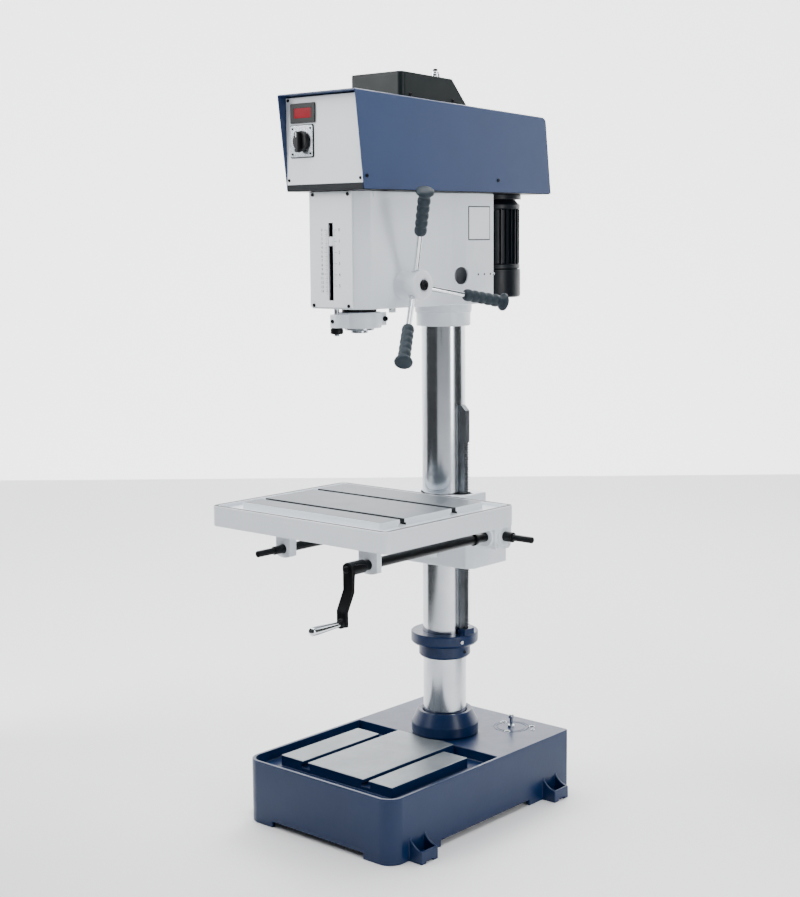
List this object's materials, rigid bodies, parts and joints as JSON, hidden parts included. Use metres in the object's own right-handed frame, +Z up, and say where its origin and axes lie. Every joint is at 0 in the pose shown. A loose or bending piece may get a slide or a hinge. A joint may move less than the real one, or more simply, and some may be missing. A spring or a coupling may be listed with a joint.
{
  "type": "floor drill press",
  "caption": "Floor-standing drill press: box base, ground column with rack, cranked table with T-slots, cast head with hand-fed quill, belt hood and rear motor.",
  "frame": {"origin": "on the floor under the centre of the whole machine's bounding box", "axes": "+Z up, -Y towards the operator at the front, +X to the machine's right side, where the feed handles and the table crank are"},
  "size_m": [0.5814, 0.9582, 1.8207],
  "materials": {
    "navy_enamel": "semi-gloss navy enamel on cast iron",
    "hood_enamel": "semi-gloss blue enamel on sheet steel",
    "white_enamel": "semi-gloss off-white enamel on cast iron",
    "machined_iron": "ground and machined bare cast iron",
    "ground_steel": "ground and polished steel",
    "black_oxide": "black-oxide finished steel",
    "black_enamel": "blue-black enamel",
    "chrome": "bright chrome plate",
    "slate_rubber": "slate-grey moulded rubber",
    "black_plastic": "satin black plastic",
    "red_display": "glossy deep red display window",
    "quill_rubber": "black rubber"
  },
  "bodies": {
    "stand": {"base_casting": "navy_enamel", "sump_cover": "navy_enamel", "sump_bolt": "black_oxide", "column_flange": "navy_enamel", "column_tube": "ground_steel", "stop_collar": "navy_enamel", "head_casting": "white_enamel", "scale_plate": "white_enamel", "quill_bumper": "quill_rubber", "spring_cap": "black_enamel", "return_spring": "ground_steel", "belt_hood": "hood_enamel", "hood_pan": "black_enamel", "control_panel": "white_enamel", "tach_bezel": "black_plastic", "tach_window": "red_display", "switch_plate": "chrome", "top_cover": "black_enamel", "top_fitting": "chrome", "drive_belt": "quill_rubber", "motor_body": "black_enamel", "motor_flange": "black_enamel", "motor_fan_cover": "black_enamel", "cable_gland": "black_plastic"},
    "rack": {"rack_ring": "navy_enamel", "rack_bar": "ground_steel"},
    "table": {"table_bracket": "white_enamel", "table_top": "machined_iron", "shaft_hanger": "white_enamel", "lock_hanger": "white_enamel", "gear_case": "white_enamel"},
    "lift_gear": {"lift_pinion": "ground_steel"},
    "worm_shaft": {"cross_shaft": "black_oxide"},
    "crank": {"crank_shaft": "black_oxide", "crank_arm": "black_oxide", "crank_nut": "black_oxide"},
    "crank_handle": {"crank_grip": "chrome"},
    "table_lock": {"lock_rod": "black_oxide"},
    "quill": {"quill_sleeve": "ground_steel", "quill_clamp": "white_enamel", "pinch_bolt": "black_oxide", "lower_bearing": "ground_steel", "upper_bearing": "ground_steel", "depth_rod": "ground_steel", "depth_pointer": "white_enamel"},
    "depth_nut_turning": {"depth_nut": "black_oxide"},
    "spindle_turning": {"spindle": "ground_steel"},
    "feed": {"feed_shaft": "ground_steel", "feed_hub": "white_enamel", "hub_bolt": "black_oxide", "feed_rod_1": "chrome", "feed_rod_2": "chrome", "feed_rod_3": "chrome", "feed_grip_1": "slate_rubber", "feed_grip_2": "slate_rubber", "feed_grip_3": "slate_rubber"},
    "pulley": {"spindle_pulley": "machined_iron"},
    "motor_turning": {"motor_rotor": "ground_steel", "motor_pulley": "machined_iron"},
    "knob": {"switch_knob": "black_plastic"}
  },
  "joints": [
    {"name": "table_swing", "type": "hinge", "parent": "stand", "child": "rack", "pos_m": [-0.00875, 0.1911, 0.689], "axis": [0, 0, 1], "continuous": true},
    {"name": "table_lift", "type": "slide", "parent": "rack", "child": "table", "axis": [0, 0, 1], "range_m": [-0.14, 0.2]},
    {"name": "lift_gear_turn", "type": "hinge", "parent": "table", "child": "lift_gear", "pos_m": [0.08225, 0.1911, 0.6604], "axis": [0, 1, 0], "range_deg": [-720, 505]},
    {"name": "worm_shaft_turn", "type": "hinge", "parent": "table", "child": "worm_shaft", "pos_m": [0.08225, 0.1631, 0.6994], "axis": [1, 0, 0], "range_deg": [-7170, 5020]},
    {"name": "crank_turn", "type": "hinge", "parent": "table", "child": "crank", "pos_m": [0.17365, -0.1089, 0.6994], "axis": [0, 1, 0], "range_deg": [-5020, 7170]},
    {"name": "crank_grip_turn", "type": "hinge", "parent": "crank", "child": "crank_handle", "pos_m": [0.17365, -0.4289, 0.5814], "axis": [0, 1, 0], "continuous": true},
    {"name": "table_lock_turn", "type": "hinge", "parent": "table", "child": "table_lock", "pos_m": [-0.09615, -0.1089, 0.7013], "axis": [0, 1, 0], "range_deg": [-60, 60]},
    {"name": "quill_feed", "type": "slide", "parent": "stand", "child": "quill", "axis": [0, 0, -1], "range_m": [0, 0.12], "stiffness_N_per_m": 500, "springref_m": -0.3},
    {"name": "feed_turn", "type": "hinge", "parent": "stand", "child": "feed", "pos_m": [0.10125, -0.0729, 1.3145], "axis": [1, 0, 0], "range_deg": [-10, 540]},
    {"name": "spindle_spin", "type": "hinge", "parent": "quill", "child": "spindle_turning", "pos_m": [-0.00875, -0.1179, 1.204], "axis": [0, 0, 1], "continuous": true},
    {"name": "depth_nut_turn", "type": "hinge", "parent": "quill", "child": "depth_nut_turning", "pos_m": [-0.00875, -0.1949, 1.203], "axis": [0, 0, 1], "continuous": true},
    {"name": "pulley_spin", "type": "hinge", "parent": "stand", "child": "pulley", "pos_m": [-0.00875, -0.1179, 1.601], "axis": [0, 0, 1], "continuous": true},
    {"name": "motor_spin", "type": "hinge", "parent": "stand", "child": "motor_turning", "pos_m": [-0.00875, 0.3821, 1.489], "axis": [0, 0, 1], "continuous": true},
    {"name": "knob_turn", "type": "hinge", "parent": "stand", "child": "knob", "pos_m": [-0.07425, -0.2299, 1.6435], "axis": [0, 1, 0], "range_deg": [0, 90]}
  ],
  "couplings": [
    {"joint": "lift_gear_turn", "follows": "table_lift", "rad_per_m": -62.5},
    {"joint": "worm_shaft_turn", "follows": "table_lift", "rad_per_m": -625},
    {"joint": "crank_turn", "follows": "table_lift", "rad_per_m": 625},
    {"joint": "feed_turn", "follows": "quill_feed", "rad_per_m": 76.923},
    {"joint": "spindle_spin", "follows": "pulley_spin", "ratio": 1},
    {"joint": "motor_spin", "follows": "pulley_spin", "ratio": 2.3158}
  ]
}
